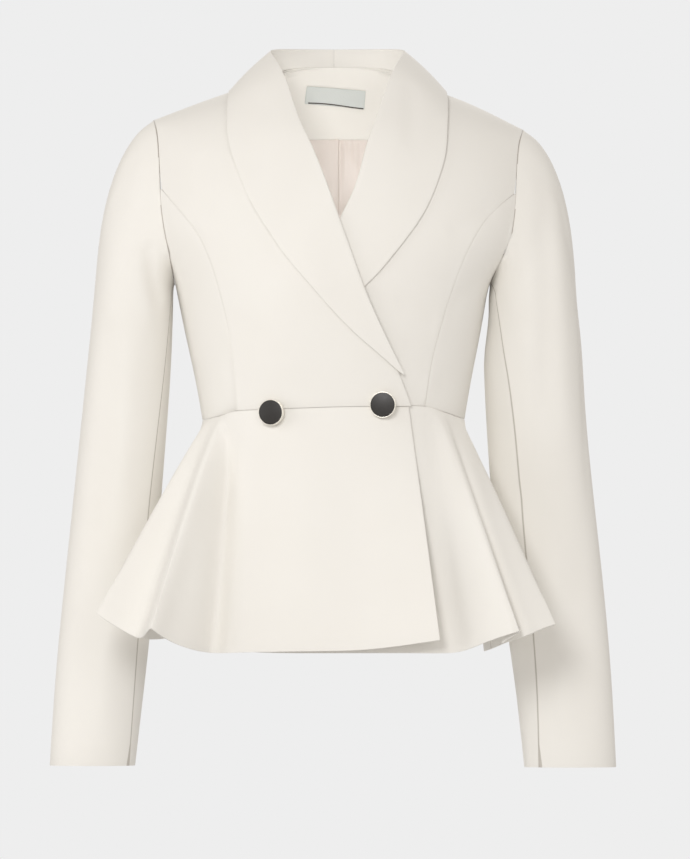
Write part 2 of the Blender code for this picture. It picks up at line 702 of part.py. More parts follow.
def collar_stations(side, form):
    stations = []
    for face, fx, fy, fz, ex, ez, sx, sz in NECK_ROWS:
        fold = Vector((NECK_X + side * fx, fy, fz))
        edge = at_body(face, NECK_X + side * ex, ez, 0.0)
        edge = seat(form, edge, NECK_PLY + WALL / 2, exactly=True)
        seam_z = shoulder_z(NECK_X + side * sx) if face == "back" else sz
        neck = at_body(face, NECK_X + side * sx, seam_z, 0.0)
        toward = (fold - neck).normalized()
        neck = neck + toward * STAND_LIFT + Vector((-side * STAND_INSET * min(sx / 30, 1), 0, 0))
        if fx == 0:
            fold.x = neck.x = edge.x = side * SEAM / 2
        stations.append((fold, edge, neck, COLLAR_BULGE, NECK_PLY + WALL / 2))
    border = COLLAR_EDGE[side]
    for k in range(COLLAR_STEPS + 1):
        share = k / COLLAR_STEPS
        z = COLLAR_START_Z + (COLLAR_END_Z - COLLAR_START_Z) * share
        x = roll[side](z)
        lift = lap_lift(x, z) if side == RIGHT else 0.0
        height = PLY + (NECK_PLY - PLY) * (1 - smooth_step(share * 4)) + WALL / 2
        fold = at_body("front", x - side * ROLL_INSET, z, lift + height)
        bx, bz = through([Vector((px, pz, 0)) for px, pz in border], share * (len(border) - 1))[:2]
        edge = seat(form, at_body("front", bx, bz, 0.0), height, exactly=True)
        neck = at_body("front", x - side * ROLL_INSET, z, lift - WALL + ROLL_INSET)
        stations.append((fold, edge, neck, 0.0, height))
    return stations


def make_collar(side, word, lift):
    form = body_form(lift)
    middle = [collar_station(form, *station) for station in collar_stations(side, form)]
    rows, columns = len(middle), len(middle[0])
    outer, inner = [], []
    for i in range(rows):
        outer_row, inner_row = [], []
        for j in range(columns):
            a = middle[min(i + 1, rows - 1)][j] - middle[max(i - 1, 0)][j]
            b = middle[i][min(j + 1, columns - 1)] - middle[i][max(j - 1, 0)]
            if a.cross(b).length < 1e-6:
                a = middle[min(i + 1, rows - 1)][3] - middle[max(i - 1, 0)][3]
            normal = b.cross(a).normalized() * side
            outer_row.append(middle[i][j] + normal * WALL / 2)
            inner_row.append(middle[i][j] - normal * WALL / 2)
        outer.append(outer_row)
        inner.append(inner_row)
    for face in (outer, inner):
        for point in face[0]:
            point.x = side * max(side * point.x, SEAM / 2)
    return cloth_wall(f"collar_{word}", outer, inner, crepe())


def make_inside():
    """The back neck facing, the lining with its centre pleat, and the bare label."""
    facing_rows = [FACING_FOOT_ROW, 0.76, 0.84, 0.91, 0.96, FACING_TOP_ROW]
    body_panel("neck_facing", "back", lambda row: NECK_X - FACING_HALF_WIDTH,
               lambda row: NECK_X + FACING_HALF_WIDTH, facing_rows, 12, crepe(),
               depth=LINING_DEPTH)

    def pleat(x, z):
        near = math.exp(-((x - PLEAT_X) / PLEAT_WIDTH) ** 2)
        fade = smooth_step((z - CHEST_Z + 60.0) / 120.0)
        return -LINING_DEPTH - PLEAT_RISE * near * fade

    lining_rows = [-0.95, -0.6, -0.2, 0.1, 0.3, 0.5, FACING_FOOT_ROW]
    columns = 18
    outer, inner = [], []
    for row in lining_rows:
        at = row - SEAM / CHEST_RISE if row == lining_rows[-1] else row
        outer_row, inner_row = [], []
        for j in range(columns + 1):
            share = 2 * j / columns - 1
            x = PLEAT_X + LINING_HALF_WIDTH * (0.35 * share + 0.65 * share ** 3)
            turn = body_turn(x, row_z(x, at))
            point = body_point("back", turn, at)
            normal = body_normal("back", turn, at)
            depth = pleat(point.x, point.z)
            outer_row.append(point + normal * depth)
            inner_row.append(point + normal * (depth - LINING_WALL))
        outer.append(outer_row)
        inner.append(inner_row)
    cloth_wall("back_lining", outer, inner, satin())

    outer, inner = [], []
    width, height = LABEL_SIZE
    tilt = math.radians(LABEL_TILT)
    face_depth = LINING_DEPTH + WALL + 2 * SEAM
    for i in range(4):
        v = height * (i / 3 - 0.5)
        outer_row, inner_row = [], []
        for j in range(9):
            u = width * (j / 8 - 0.5)
            x = LABEL_CENTRE[0] + u * math.cos(tilt) - v * math.sin(tilt)
            z = LABEL_CENTRE[1] + u * math.sin(tilt) + v * math.cos(tilt)
            outer_row.append(at_body("back", x, z, -face_depth))
            inner_row.append(at_body("back", x, z, -face_depth - LABEL_WALL))
        outer.append(outer_row)
        inner.append(inner_row)
    cloth_wall("neck_label", outer, inner, material("label_satin", (244, 245, 244), 0.5))


def turned(name, profile, finish, place):
    """Turns a closed outline of (radius, height) rows about its own axis."""
    sides = 20
    points, faces = [], []
    ring_starts = []
    for radius, height in profile:
        ring_starts.append(len(points))
        if radius == 0:
            points.append(Vector((0, 0, height)))
            continue
        for k in range(sides):
            turn = 2 * math.pi * k / sides
            points.append(Vector((radius * math.cos(turn), radius * math.sin(turn), height)))
    for (a, first), (b, second) in zip(zip(ring_starts, profile),
                                       zip(ring_starts[1:], profile[1:])):
        for k in range(sides):
            n = (k + 1) % sides
            if first[0] == 0:
                faces.append((a, b + k, b + n))
            elif second[0] == 0:
                faces.append((a + k, a + n, b))
            else:
                faces.append((a + k, a + n, b + n, b + k))
    return add_object(name, [place @ point for point in points], faces, finish)


def make_buttons():
    shell_metal = material("button_metal", (214, 208, 198), 0.3, 1.0)
    enamel = material("button_enamel", (60, 59, 58), 0.35)
    seat_height = BUTTON_STAND + BUTTON_HEIGHT
    inside = BUTTON_RADIUS - BUTTON_RIM
    for word, x, z, tilt in BUTTONS:
        on_cloth = at_body("front", x, max(z, waist_z(x)), lap_lift(x, z))
        on_cloth.z = z
        normal = body_normal("front", body_turn(x, z), max(row_at(x, z), -0.999))
        normal.z = 0
        normal = Matrix.Rotation(math.radians(tilt), 3, "Z") @ normal.normalized()
        facing = normal.to_track_quat("Z", "X").to_matrix().to_4x4()
        place = Matrix.Translation(on_cloth) @ facing
        cup = [(0, SHANK_FOOT), (SHANK_RADIUS, SHANK_FOOT), (SHANK_RADIUS, BUTTON_STAND - 0.4),
               (BUTTON_RADIUS - 1.0, BUTTON_STAND), (BUTTON_RADIUS, BUTTON_STAND + 0.9),
               (BUTTON_RADIUS, seat_height - 0.4), (BUTTON_RADIUS - 0.35, seat_height),
               (inside, seat_height - 0.2), (inside, BUTTON_STAND + 1.4), (0, BUTTON_STAND + 1.4)]
        disc = [(0, BUTTON_STAND + 1.7), (inside - SEAM, BUTTON_STAND + 1.7),
                (inside - SEAM, seat_height - 0.1), (inside - SEAM - FACE_BEVEL, seat_height + 0.25),
                (0, seat_height + 0.35)]
        turned(f"button_shell_{word}", cup, shell_metal, place)
        turned(f"button_face_{word}", disc, enamel, place)


def main():
    for old in list(bpy.data.objects):
        bpy.data.objects.remove(old)
    make_fronts()
    make_backs()
    make_sleeves()
    make_peplum()
    make_collar(RIGHT, "right", lap_lift)
    make_collar(LEFT, "left", None)
    make_inside()
    make_buttons()


main()
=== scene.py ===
# %% [markdown]
# # A peplum jacket, dressed
# The solids of the jacket are already cut and placed, one for each piece of cloth. This lesson
# turns each stiff solid into a soft shell, adds the creases, gathers the finishes, and sets up
# a plain studio. Sizes in this script are metres, as in Blender.

# %% Load the frame
import math

import bmesh
import bpy
import numpy as np
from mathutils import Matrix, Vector
from mathutils.bvhtree import BVHTree
from mathutils.kdtree import KDTree


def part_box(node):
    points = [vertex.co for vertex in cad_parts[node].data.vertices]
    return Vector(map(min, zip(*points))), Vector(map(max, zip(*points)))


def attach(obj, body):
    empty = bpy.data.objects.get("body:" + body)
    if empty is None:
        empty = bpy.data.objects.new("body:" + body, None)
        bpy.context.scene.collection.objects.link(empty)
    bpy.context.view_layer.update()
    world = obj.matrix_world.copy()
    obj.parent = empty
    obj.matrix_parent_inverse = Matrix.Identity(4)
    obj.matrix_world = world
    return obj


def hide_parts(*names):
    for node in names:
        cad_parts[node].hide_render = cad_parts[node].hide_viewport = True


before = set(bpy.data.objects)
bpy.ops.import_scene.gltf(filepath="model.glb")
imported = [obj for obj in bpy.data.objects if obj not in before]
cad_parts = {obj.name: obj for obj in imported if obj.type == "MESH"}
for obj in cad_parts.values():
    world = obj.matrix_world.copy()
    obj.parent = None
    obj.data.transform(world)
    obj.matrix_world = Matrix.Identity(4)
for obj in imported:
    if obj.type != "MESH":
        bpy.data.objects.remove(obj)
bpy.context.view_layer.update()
print("pieces in the frame:", len(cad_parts))

# %% [markdown]
# ## Colours and a node helper
# Colours are written as a tailor's shade card would give them, as sRGB hex values. Shaders
# work with linear light, so one function turns the first into the second. Another adds a
# shader node with its settings and links, so each finish below reads as a short list.

# %% Colour and node helpers
MM = 0.001


def shade(hex_colour):
    """Linear RGBA from an sRGB hex value."""
    channels = [int(hex_colour[i:i + 2], 16) / 255 for i in (1, 3, 5)]
    linear = [c / 12.92 if c <= 0.04045 else ((c + 0.055) / 1.055) ** 2.4 for c in channels]
    return (*linear, 1.0)


def add_node(tree, kind, settings=(), links=()):
    """Adds a node. settings name a property or an input; links name an input and a socket."""
    node = tree.nodes.new(kind)
    for key, value in dict(settings).items():
        if key in node.inputs:
            node.inputs[key].default_value = value
        else:
            setattr(node, key, value)
    for key, socket in dict(links).items():
        tree.links.new(socket, node.inputs[key])
    return node


def new_finish(name, **sockets):
    """A material with its Principled shader set; returns the material, tree and shader."""
    made = bpy.data.materials.new(name)
    made.use_nodes = True
    shader = made.node_tree.nodes["Principled BSDF"]
    for key, value in sockets.items():
        shader.inputs[key.replace("_", " ")].default_value = value
    made.diffuse_color = shader.inputs["Base Color"].default_value
    return made, made.node_tree, shader


print("shade of white:", shade("#ffffff"))

# %% [markdown]
# ## Crepe
# The shell is an off-white crepe suiting: hard-twisted yarns that shrink into a fine, dry
# grain, with no gloss and a faint soft sheen at grazing angles. The grain is about 0.5 mm
# across, finer than the picture shows, so it is drawn at 1.1 mm and kept very shallow. Cloth
# is never one flat colour either, so two close shades drift over it. A pressed seam sinks into
# a narrow ditch, too fine to model, so the shade in it is painted into the colour from two
# values that each shell carries: how far a point is from the nearest seam, and how deep that
# piece's seams are, which sets how dark the painted shade is.

# %% Crepe
CREPE_LIGHT = shade("#f3f1ec")
CREPE_DARK = shade("#efece6")
# painted shade for the ditch of a seam, mixed in near the seams
PAINTED_SEAM_SHADE = shade("#a39a90")
GRAIN, GRAIN_RELIEF = 1.1 * MM, 0.25 * MM
DRIFT = 90 * MM
# full shade within the first distance from a seam, none beyond the second
DITCH_FROM, DITCH_TO = 0.3 * MM, 1.1 * MM


def crepe_finish():
    """Dry-grained cloth in two close shades, with painted shade in the ditch of a seam."""
    made, tree, shader = new_finish("wool_blend_crepe", Roughness=0.86, Sheen_Weight=0.12,
                                    Sheen_Roughness=0.5, Specular_IOR_Level=0.25)
    place = add_node(tree, "ShaderNodeTexCoord").outputs["Object"]
    drift = add_node(tree, "ShaderNodeTexNoise", {"Scale": 1 / DRIFT, "Detail": 3.0},
                     {"Vector": place})
    grain = add_node(tree, "ShaderNodeTexNoise", {"Scale": 1 / GRAIN, "Detail": 2.0},
                     {"Vector": place})
    blend = add_node(tree, "ShaderNodeMix", {"data_type": "RGBA"},
                     {"Factor": drift.outputs["Fac"]})
    blend.inputs[6].default_value = CREPE_DARK
    blend.inputs[7].default_value = CREPE_LIGHT
    # The ditch of a seam is shade painted into the colour, full at the seam and gone by DITCH_TO.
    gap = add_node(tree, "ShaderNodeAttribute", {"attribute_name": "seam_gap"})
    depth = add_node(tree, "ShaderNodeAttribute", {"attribute_name": "seam_depth"})
    near = add_node(tree, "ShaderNodeMapRange",
                    {"interpolation_type": "SMOOTHSTEP", "From Min": DITCH_FROM,
                     "From Max": DITCH_TO, "To Min": 1.0, "To Max": 0.0},
                    {"Value": gap.outputs["Fac"]})
    ditch_shade = add_node(tree, "ShaderNodeMath", {"operation": "MULTIPLY"},
                     {0: near.outputs["Result"], 1: depth.outputs["Fac"]})
    seam_shaded = add_node(tree, "ShaderNodeMix", {"data_type": "RGBA"}, {"Factor": ditch_shade.outputs[0]})
    tree.links.new(blend.outputs[2], seam_shaded.inputs[6])
    seam_shaded.inputs[7].default_value = PAINTED_SEAM_SHADE
    tree.links.new(seam_shaded.outputs[2], shader.inputs["Base Color"])
    relief = add_node(tree, "ShaderNodeBump", {"Strength": 0.12, "Distance": GRAIN_RELIEF},
                      {"Height": grain.outputs["Fac"]})
    tree.links.new(relief.outputs["Normal"], shader.inputs["Normal"])
    return made


crepe = crepe_finish()
print("finish:", crepe.name)

# %% [markdown]
# ## Lining, label and buttons
# The lining is a warm beige satin: long floats of filament yarn that shine across the grain.
# The label is a narrow woven tape, left bare. Each button is a dark enamelled disc in a pale
# metal cup.

# %% Lining satin, label tape, button finishes
# A wave texture's diagonal bands come out 3.95 times as far apart along an axis as the value
# here: 5.5 mm on the satin, 3.2 mm on the tape and on the strip of painted shadow under the
# label. Real ones are much finer, too fine for the picture to show.
TWILL, TAPE_WEAVE, LABEL_SHADOW_RIBS = 1.4 * MM, 0.8 * MM, 0.8 * MM
BAND_TURN = 6.283
WEAVE_DRIFT, WEAVE_RELIEF = 40 * MM, 0.2 * MM


def woven_finish(name, light, dark, pitch, strength, **sockets):
    """A filament weave: faint slanting ribs, and a slow drift between two shades."""
    made, tree, shader = new_finish(name, **sockets)
    place = add_node(tree, "ShaderNodeTexCoord").outputs["Object"]
    ribs = add_node(tree, "ShaderNodeTexWave",
                    {"Scale": 1 / pitch / BAND_TURN, "Distortion": 0.6, "Detail": 1.0,
                     "bands_direction": "DIAGONAL"}, {"Vector": place})
    drift = add_node(tree, "ShaderNodeTexNoise", {"Scale": 1 / WEAVE_DRIFT}, {"Vector": place})
    blend = add_node(tree, "ShaderNodeMix", {"data_type": "RGBA"},
                     {"Factor": drift.outputs["Fac"]})
    blend.inputs[6].default_value = shade(dark)
    blend.inputs[7].default_value = shade(light)
    tree.links.new(blend.outputs[2], shader.inputs["Base Color"])
    relief = add_node(tree, "ShaderNodeBump", {"Strength": strength, "Distance": WEAVE_RELIEF},
                      {"Height": ribs.outputs["Fac"]})
    tree.links.new(relief.outputs["Normal"], shader.inputs["Normal"])
    return made


satin = woven_finish("acetate_lining_satin", "#ece4de", "#e4d9d2", TWILL, 0.08, Roughness=0.42,
                     Sheen_Weight=0.2, Specular_IOR_Level=0.5)
tape = woven_finish("woven_label_tape", "#d8dcda", "#cfd4d1", TAPE_WEAVE, 0.15, Roughness=0.6,
                    Sheen_Weight=0.1)
# A dark finish for the strip of painted shadow under the label's lower edge.
painted_shadow = woven_finish("painted_label_shadow", "#5b5651", "#3d3935", LABEL_SHADOW_RIBS, 0.1,
                      Roughness=0.6)


def worn_finish(name, light, dark, cloud_size, low, high, **sockets):
    """A hard finish whose roughness and shade vary faintly, as on a handled button."""
    made, tree, shader = new_finish(name, **sockets)
    place = add_node(tree, "ShaderNodeTexCoord").outputs["Object"]
    cloud = add_node(tree, "ShaderNodeTexNoise", {"Scale": 1 / cloud_size, "Detail": 4.0},
                     {"Vector": place})
    rough = add_node(tree, "ShaderNodeMapRange", {"To Min": low, "To Max": high},
                     {"Value": cloud.outputs["Fac"]})
    blend = add_node(tree, "ShaderNodeMix", {"data_type": "RGBA"},
                     {"Factor": cloud.outputs["Fac"]})
    blend.inputs[6].default_value = shade(dark)
    blend.inputs[7].default_value = shade(light)
    tree.links.new(blend.outputs[2], shader.inputs["Base Color"])
    tree.links.new(rough.outputs["Result"], shader.inputs["Roughness"])
    return made


enamel = worn_finish("button_enamel", "#2f2c2a", "#242220", cloud_size=3 * MM,
                     low=0.34, high=0.46)
plating = worn_finish("pale_gold_plating", "#fbf8f0", "#f1ebdf", cloud_size=2 * MM,
                      low=0.26, high=0.38, Metallic=0.6)
print("finishes:", satin.name, tape.name, enamel.name, plating.name)

# %% [markdown]
# ## From stiff solid to soft shell
# Each solid is a thin wall made of triangles. To soften one, copy its mesh, merge the loose
# corners, and join the triangles back into quads. Its rim is then marked so that subdivision
# rounds the cloth but leaves seams and hems where they were cut. A hair of bevel turns each
# raw arris into a folded edge.

# %% Soft shell from a solid
MERGE = 0.02 * MM             # corners nearer than this are one
FLAT_WITHIN, SKEW_WITHIN = math.radians(50), math.radians(60)  # how bent a joined quad may be
RIM_ANGLE = math.radians(60)  # a sharper edge belongs to the rim
RIM_WIDE = 2 * MM             # a face whose shortest edge is longer isn't on the rim
PIN_TURN = math.radians(25)   # a rim that turns more than this has a corner there
EDGE_ROUND, SLEEVE_EDGE_ROUND = 0.3 * MM, 0.75 * MM
CLOSE_SEAM = 0.13 * MM        # how far a rim is moved out to close its seam
# node start, least upward part of the rim's normal, how far such a rim is moved instead
CLOSE_TOP = [("peplum", 0.7, 0.75 * MM), ("sleeve", 0.1, 0.4 * MM)]
SEWN_WITHIN = 1.3 * MM        # a rim this near to another solid is sewn to it
SEAM_STEP, RIM_STEP = 2 * MM, 0.5 * MM  # along a seam, before and after it is subdivided
RIM_DRIFT = 1.5 * MM          # a subdivided rim this near to a seam runs along it
FAR_FROM_SEAM = 20 * MM       # the greatest distance that is noted
# how dark the painted shade in a piece's seams is
SEAM_SHADE_DEPTH, PLAIN_SHADE_DEPTH = [("sleeve", 0.6)], 0.1  # by node start, and for all other nodes
LEVELS, PLAIN_LEVEL = {"back_lining": 3}, 2


def add_modifier(piece, kind, **settings):
    """Adds a modifier, applies it, and leaves the object as a plain mesh."""
    bpy.ops.object.select_all(action="DESELECT")
    piece.select_set(True)
    bpy.context.view_layer.objects.active = piece
    made = piece.modifiers.new(kind.title(), kind)
    for key, value in settings.items():
        setattr(made, key, value)
    bpy.ops.object.modifier_apply(modifier=made.name)


def mark_rims(work):
    """Creases the arrises of the wall, and pins the corners of the panel."""
    crease = work.edges.layers.float.new("crease_edge")
    pin = work.verts.layers.float.new("crease_vert")
    for edge in work.edges:
        if edge.calc_face_angle(0.0) > RIM_ANGLE:
            edge[crease] = 1.0
    for corner in work.verts:
        marked = [edge for edge in corner.link_edges if edge[crease] > 0.5]
        if len(marked) == 2:
            ways = [(edge.other_vert(corner).co - corner.co).normalized() for edge in marked]
            corner[pin] = float(ways[0].angle(-ways[1], 0.0) > PIN_TURN)
        elif len(marked) > 2:
            corner[pin] = 1.0


def close_seams(node, work):
    """Moves each rim out a hair, so that two pieces meet at their seam without a slit."""
    crease = work.edges.layers.float["crease_edge"]
    moves = {}
    for face in work.faces:
        sharp = sum(edge[crease] > 0.5 for edge in face.edges)
        if sharp < 2 or min(edge.calc_length() for edge in face.edges) > RIM_WIDE:
            continue
        reach = CLOSE_SEAM
        for start, least, wide in CLOSE_TOP:
            if node.startswith(start) and face.normal.z > least:
                reach = wide
        for corner in face.verts:
            moves.setdefault(corner, []).append(face.normal * reach)
    for corner, ways in moves.items():
        corner.co += sum(ways, Vector()) / len(ways)


def form_of(nodes):
    """The surface of some solids, for rays to meet and distances to be taken from."""
    corners, polygons = [], []
    for node in nodes:
        first = len(corners)
        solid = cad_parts[node].data
        corners += [v.co for v in solid.vertices]
        polygons += [[first + i for i in face.vertices] for face in solid.polygons]
    return BVHTree.FromPolygons(corners, polygons)


def seam_line(node, work):
    """Points along the arrises of a wall where another piece is sewn to it."""
    others = form_of([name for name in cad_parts
                      if name != node and not name.startswith(("button", "neck_label"))])
    crease = work.edges.layers.float["crease_edge"]
    line = []
    for edge in work.edges:
        if edge[crease] < 0.5:
            continue
        a, b = (corner.co for corner in edge.verts)
        if max(others.find_nearest(spot)[3] for spot in (a, b)) < SEWN_WITHIN:
            steps = max(1, math.ceil((b - a).length / SEAM_STEP))
            line += [a.lerp(b, k / steps) for k in range(steps + 1)]
    return line


def tree_of(spots):
    """A tree that finds the nearest of some points."""
    tree = KDTree(len(spots))
    for i, spot in enumerate(spots):
        tree.insert(spot, i)
    tree.balance()
    return tree


def smooth_line(mesh, line):
    """The part of the subdivided rim that runs along the given seam."""
    if not line:
        return []
    tree, crease, smooth = tree_of(line), mesh.attributes["crease_edge"].data, []
    for edge in mesh.edges:
        if crease[edge.index].value > 0.5:
            a, b = (mesh.vertices[i].co for i in edge.vertices)
            if tree.find((a + b) / 2)[2] < RIM_DRIFT:
                steps = max(1, math.ceil((b - a).length / RIM_STEP))
                smooth += [a.lerp(b, k / steps) for k in range(steps + 1)]
    return smooth


def note_seams(node, mesh, line):
    """Gives each point its distance from the nearest seam, and how dark the painted shade in its
    seams is.
    """
    tree = tree_of(line)
    gaps = [min(tree.find(v.co)[2], FAR_FROM_SEAM) if line else FAR_FROM_SEAM
            for v in mesh.vertices]
    mesh.attributes.new("seam_gap", "FLOAT", "POINT").data.foreach_set("value", gaps)
    depth = next((deep for start, deep in SEAM_SHADE_DEPTH if node.startswith(start)), PLAIN_SHADE_DEPTH)
    mesh.attributes.new("seam_depth", "FLOAT", "POINT").data.foreach_set(
        "value", [depth] * len(gaps))


def soft_shell(node, levels):
    """A merged quad copy of a solid, subdivided and given rounded edges."""
    work = bmesh.new()
    work.from_mesh(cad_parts[node].data)
    bmesh.ops.remove_doubles(work, verts=work.verts, dist=MERGE)
    bmesh.ops.recalc_face_normals(work, faces=work.faces)
    bmesh.ops.join_triangles(work, faces=work.faces, angle_face_threshold=FLAT_WITHIN,
                             angle_shape_threshold=SKEW_WITHIN)
    mark_rims(work)
    line = seam_line(node, work)
    close_seams(node, work)
    mesh = bpy.data.meshes.new(node + "_cloth")
    work.to_mesh(mesh)
    work.free()
    piece = bpy.data.objects.new(node + "_cloth", mesh)
    bpy.context.scene.collection.objects.link(piece)
    add_modifier(piece, "SUBSURF", levels=levels, render_levels=levels)
    line = smooth_line(mesh, line)
    width = SLEEVE_EDGE_ROUND if node.startswith("sleeve") else EDGE_ROUND
    add_modifier(piece, "BEVEL", width=width, segments=2, limit_method="ANGLE",
                 angle_limit=RIM_ANGLE)
    mesh.polygons.foreach_set("use_smooth", [True] * len(mesh.polygons))
    note_seams(node, mesh, line)
    return piece


shells = {}
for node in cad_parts:
    if node.startswith("button"):
        continue
    shells[node] = soft_shell(node, LEVELS.get(node, PLAIN_LEVEL))
print("shells:", len(shells), "faces:", sum(len(p.data.polygons) for p in shells.values()))

# %% [markdown]
# ## Folds, placed one by one
# Tailored cloth shows few creases, and each has a cause: a sleeve drags from its cap and
# from the underarm, the chest pulls a little toward the button, and the flare of the peplum
# rolls. Each row below is one of them: the side from which it is cast onto the cloth, the
# points that it runs through, its half width and its height, all in millimetres. A height
# below zero is a trough. As the points are cast onto the cloth, a fold follows the form.

# %% The folds
FOLDS = [
    # face, (across, height) points, half width, height
    ("front", [(-214, -215), (-217, -300), (-223, -400), (-229, -470)], 14, -2.4),
    ("front", [(-197, -232), (-200, -320), (-206, -410)], 11, 1.5),
    ("front", [(-177, -146), (-172, -190), (-163, -214)], 7, -2.6),
    ("front", [(-187, -160), (-182, -200), (-170, -232)], 8, 1.8),
    ("front", [(-176, -398), (-204, -378), (-236, -384)], 10, -1.1),
    ("front", [(-236, -490), (-240, -560), (-247, -632)], 15, -1.6),
    ("front", [(-214, -470), (-219, -560), (-226, -625)], 13, 1.3),
    ("front", [(-190, -62), (-204, -100), (-212, -150)], 12, -1.2),
    ("front", [(192, -66), (201, -101), (204, -190), (203, -288), (208, -345)], 10, -1.7),
    ("front", [(211, -110), (219, -200), (222, -300), (226, -360)], 10, 1.2),
    ("front", [(207, -72), (224, -140), (236, -224), (240, -320), (245, -420)], 7, -1.3),
    ("front", [(184, -105), (187, -200), (189, -290)], 8, 1.1),
    ("front", [(228, -440), (236, -520), (244, -605)], 14, -1.8),
    ("front", [(208, -430), (214, -520), (221, -610)], 12, 1.4),
    ("front", [(176, -404), (200, -388), (226, -398)], 9, -1.2),
    ("front", [(168, -236), (180, -222), (196, -230)], 8, -1.6),
    ("front", [(-127, -62), (-122, -98), (-118, -130)], 9, -1.5),
    ("front", [(-136, -127), (-130, -140), (-123, -154)], 4, -0.9),
    ("front", [(-60, -250), (-84, -232), (-112, -222)], 10, -1.1),
    ("front", [(-30, -262), (-58, -274), (-92, -270)], 9, 0.9),
    ("front", [(106, -218), (124, -198), (141, -184)], 7, -1.3),
    ("front", [(108, -142), (134, -128), (160, -117)], 9, -1.3),
    ("front", [(58, -204), (80, -216), (102, -228)], 9, -1.4),
    ("front", [(66, -246), (88, -256), (112, -252)], 8, -0.9),
    ("front", [(84, -302), (92, -284), (104, -270)], 6, 0.9),
    ("front", [(-96, -306), (-104, -288), (-108, -268)], 6, 0.8),
    ("front", [(-64, -322), (-66, -420), (-68, -536)], 20, -1.3),
    ("front", [(-22, -330), (-24, -430), (-26, -536)], 22, 1.2),
    ("front", [(20, -360), (26, -450), (30, -536)], 18, -1.0),
    ("front", [(72, 8), (75, -20), (72, -64)], 9, -1.1),
    ("front", [(-66, -6), (-78, -40), (-74, -90)], 10, -0.9),
    ("front", [(-28, -120), (-24, -160), (0, -205)], 12, 0.8),
    ("back", [(-208, -210), (-213, -300), (-219, -400)], 12, -2.4),
    ("back", [(-190, -225), (-196, -330), (-203, -410)], 10, 1.5),
    ("back", [(-178, -150), (-172, -188), (-163, -212)], 7, -2.2),
    ("back", [(-182, -368), (-206, -382), (-236, -372)], 9, -1.9),
    ("back", [(-184, -392), (-208, -408), (-238, -398)], 9, 1.2),
    ("back", [(-226, -480), (-233, -560), (-240, -625)], 14, -1.5),
    ("back", [(198, -100), (205, -200), (207, -300), (212, -350)], 10, -2.6),
    ("back", [(216, -120), (223, -220), (228, -330)], 9, 1.6),
    ("back", [(176, -150), (168, -190), (158, -214)], 7, -2.0),
    ("back", [(178, -372), (202, -386), (232, -376)], 9, -1.9),
    ("back", [(180, -398), (206, -412), (234, -402)], 9, 1.3),
    ("back", [(224, -470), (232, -550), (240, -620)], 14, -1.5),
    ("back", [(-128, -140), (-104, -176), (-78, -196)], 10, -1.5),
    ("back", [(132, -136), (106, -170), (82, -192)], 10, -1.6),
    ("back", [(-84, -258), (-40, -266), (0, -262)], 8, -1.2),
    ("back", [(6, -276), (44, -282), (88, -274)], 8, -1.2),
    ("back", [(-60, -290), (-20, -294), (30, -290)], 7, 0.9),
    # The rows from here move only the piece that they end with.
    ("front", [(-104, -312), (-107, -380), (-112, -450), (-118, -535), (-122, -600)], 14, -10.0,
     "peplum_front_right"),
    ("front", [(-105, -316), (-106, -345), (-108, -380), (-110, -420)], 7, -3.5,
     "peplum_front_right"),
    ("front", [(-107, -312), (-128, -390), (-150, -460), (-171, -525), (-192, -590)], 13, 6.5,
     "peplum_front_right"),
    ("front", [(74, -312), (84, -390), (92, -455), (100, -528), (109, -600)], 22, 9.0,
     "peplum_front_left"),
    ("front", [(96, -330), (106, -400), (117, -460), (128, -530), (139, -600)], 16, 4.0,
     "peplum_front_left"),
    ("front", [(119, -326), (138, -400), (160, -465), (182, -524), (206, -590)], 11, 6.0,
     "peplum_front_left"),
]
SAMPLE = 2.5               # mm from one point of a fold to the next
FADE = 0.22                # part of a fold's length over which each end dies away
NO_CLOTH_Y = 0.02          # depth in metres given to a point that meets no cloth


def ease(share):
    """Turns a share, held between 0 and 1, into one that starts and ends gently."""
    share = np.clip(share, 0, 1)
    return share * share * (3 - 2 * share)


def flowing(points):
    """Evenly spaced points on the smooth curve through the given ones."""
    ends = [points[0]] + points + [points[-1]]
    line = []
    for a, b, c, d in zip(ends, ends[1:], ends[2:], ends[3:]):
        steps = max(2, int(math.dist(b, c) / SAMPLE))
        for k in range(steps):
            t = k / steps
            line.append([0.5 * (2 * b[i] + (c[i] - a[i]) * t
                                + (2 * a[i] - 5 * b[i] + 4 * c[i] - d[i]) * t * t
                                + (3 * b[i] - a[i] - 3 * c[i] + d[i]) * t ** 3)
                         for i in (0, 1)])
    return line


form = form_of(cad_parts)


def on_cloth(face, x, z, cloth=form):
    """The first cloth that is met from the front or from the back, at x, z in metres."""
    side = -1 if face == "front" else 1
    spot = cloth.ray_cast(Vector((x, side, z)), Vector((0, -side, 0)))[0]
    return spot if spot else Vector((x, NO_CLOTH_Y, z))


curves = []
for face, points, width, height, *only in FOLDS:
    line = flowing(points)
    cloth = form_of(only) if only else form
    spots = np.array([on_cloth(face, x * MM, z * MM, cloth) for x, z in line])
    share = np.linspace(0, 1, len(line))
    heights = height * MM * ease(np.minimum(share, 1 - share) / FADE)
    curves.append((only, spots, width * MM, heights))
print("folds:", len(curves))

# %% [markdown]
# A fold lifts the cloth away from the middle of the arm or of the body. Both faces of the
# wall are moved the same way and almost by the same amount, so it keeps its thickness. Most
# folds depend only on the place, so two pieces stay together at their seam. Then the hem is
# raised at one place, the front edge is drawn into one line, and one sleeve hangs closer.

# %% Shape the shells
BODY_ROUND = (0.14, 0.075)  # half width and half depth that set the way out of the body
ARM_ROWS, ARM_BAND = 24, 0.05  # rows down a sleeve, and how far each looks up and down
FOLD_REACH = 3              # half widths past which a fold is no longer felt


def points_of(piece):
    """The piece's points in metres, as an array."""
    points = np.zeros(len(piece.data.vertices) * 3)
    piece.data.vertices.foreach_get("co", points)
    return points.reshape(-1, 3)


def put_points(piece, points):
    """Moves the piece's points to the given ones, in metres."""
    piece.data.vertices.foreach_set("co", points.ravel())
    piece.data.update()


